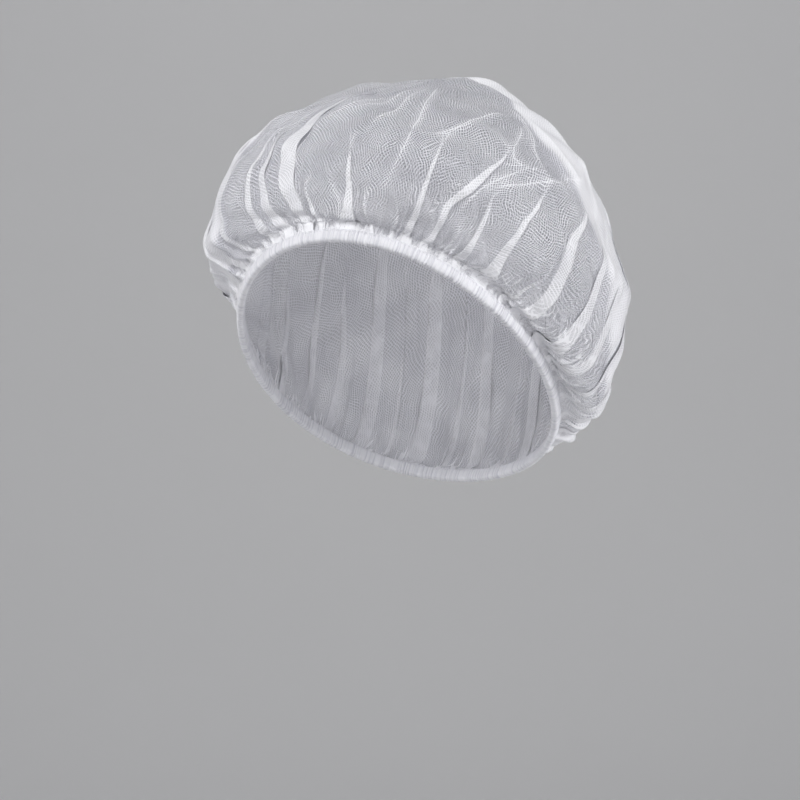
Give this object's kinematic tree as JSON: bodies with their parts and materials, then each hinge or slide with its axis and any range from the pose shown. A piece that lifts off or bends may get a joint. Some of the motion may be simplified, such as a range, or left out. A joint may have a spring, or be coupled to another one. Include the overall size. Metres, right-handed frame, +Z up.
{
  "type": "disposable hairnet",
  "caption": "Disposable bouffant hairnet of white open-mesh non-woven, gathered all round into a narrow elastic hem, shown with the puffed form it has when worn.",
  "frame": {"origin": "centre of the opening, where the head goes in, level with its two sides as worn", "axes": "+Z up as worn, towards the crown; -Y the way the wearer faces; +X the wearer's left"},
  "size_m": [0.2129, 0.2046, 0.2072],
  "materials": {
    "net": "matte open-mesh non-woven, thin and see-through",
    "hem": "matte non-woven, tightly gathered",
    "elastic": "satin"
  },
  "bodies": {
    "root": {"net_bag": "net", "gathered_hem": "hem", "elastic": "elastic"}
  },
  "joints": []
}
